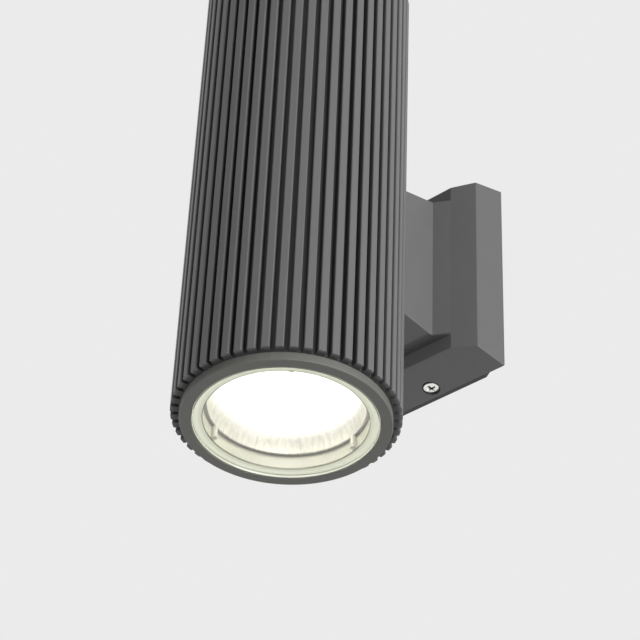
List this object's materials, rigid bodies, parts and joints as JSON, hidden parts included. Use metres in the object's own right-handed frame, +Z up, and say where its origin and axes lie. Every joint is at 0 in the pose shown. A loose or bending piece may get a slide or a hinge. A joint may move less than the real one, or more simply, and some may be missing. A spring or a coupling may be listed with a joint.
{
  "type": "wall light",
  "caption": "Ribbed round tube wall light with lit glass ends, on a cast arm and bevelled rectangular wall base with a fixing plate.",
  "frame": {"origin": "centre of the wall gasket's back face, on the wall's surface", "axes": "+X right along the wall seen from the room, +Y into the wall, +Z up along the tube"},
  "size_m": [0.1, 0.158, 0.262],
  "materials": {
    "powder_coat": "matt dark grey powder coat on aluminium",
    "clear_glass": "clear flat glass",
    "silicone": "milky silicone",
    "cream_plastic": "cream plastic",
    "reflector": "hammered bright aluminium",
    "holder_plastic": "white plastic",
    "lamp_chip": "yellow emitter on a pale board",
    "bare_aluminium": "milled aluminium",
    "zinc_steel": "bright zinc plating",
    "coated_steel": "dark coating on sheet steel",
    "driver_case": "white plastic case",
    "wire_insulation": "insulated wire",
    "terminal_plastic": "translucent white plastic",
    "black_rubber": "matt black rubber"
  },
  "bodies": {
    "root": {"arm_gasket": "black_rubber", "arm_screws": "zinc_steel", "backing_plate": "bare_aluminium", "cable_grommet": "black_rubber", "cover_screws": "zinc_steel", "driver_bracket": "zinc_steel", "driver_screws": "zinc_steel", "earth_screw": "zinc_steel", "earth_washer": "zinc_steel", "foot_screws": "zinc_steel", "heat_plate_screws": "zinc_steel", "led_driver": "driver_case", "led_holder_screws": "zinc_steel", "lower_bezel_ring": "powder_coat", "lower_glass": "clear_glass", "lower_glass_seal": "silicone", "lower_heat_plate": "bare_aluminium", "lower_led_chip": "lamp_chip", "lower_led_holder": "holder_plastic", "lower_led_leads": "wire_insulation", "lower_reflector": "reflector", "lower_spacer_ring": "cream_plastic", "supply_wires": "wire_insulation", "tab_nuts": "zinc_steel", "terminal_block": "terminal_plastic", "terminal_fixing_screws": "zinc_steel", "terminal_screws": "zinc_steel", "tube_housing": "powder_coat", "upper_bezel_ring": "powder_coat", "upper_glass": "clear_glass", "upper_glass_seal": "silicone", "upper_heat_plate": "bare_aluminium", "upper_led_chip": "lamp_chip", "upper_led_holder": "holder_plastic", "upper_led_leads": "wire_insulation", "upper_reflector": "reflector", "upper_spacer_ring": "cream_plastic", "wall_bracket": "powder_coat", "wall_gasket": "black_rubber", "wall_plate": "coated_steel", "wire_bush": "black_rubber"}
  },
  "joints": []
}
